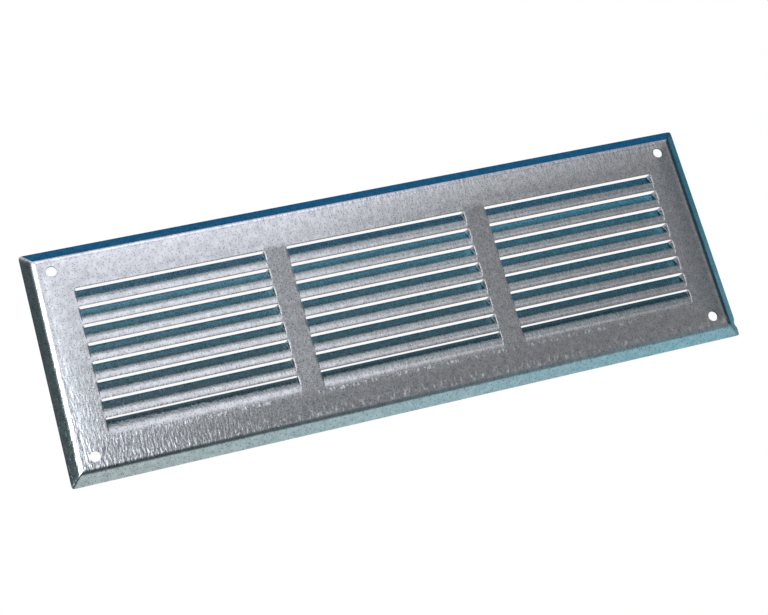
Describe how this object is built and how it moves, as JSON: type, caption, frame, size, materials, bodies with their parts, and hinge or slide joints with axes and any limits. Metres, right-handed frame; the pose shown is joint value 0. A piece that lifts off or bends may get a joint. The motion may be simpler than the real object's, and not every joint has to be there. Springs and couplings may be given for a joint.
{
  "type": "louvred vent panel",
  "caption": "Pressed sheet-metal cover plate with rows of louvred air slits, sloped edge flanges and screw holes near its corners.",
  "frame": {"origin": "middle of the plane the panel's rim lies in", "axes": "+X along the louvres, +Z out of the face, +Y towards the edge the slits look to"},
  "size_m": [0.3, 0.1, 0.005],
  "materials": {
    "louvred_panel": "bright galvanised sheet, satin, faint grain and small dark specks"
  },
  "bodies": {
    "root": {"louvred_panel": "louvred_panel"}
  },
  "joints": []
}
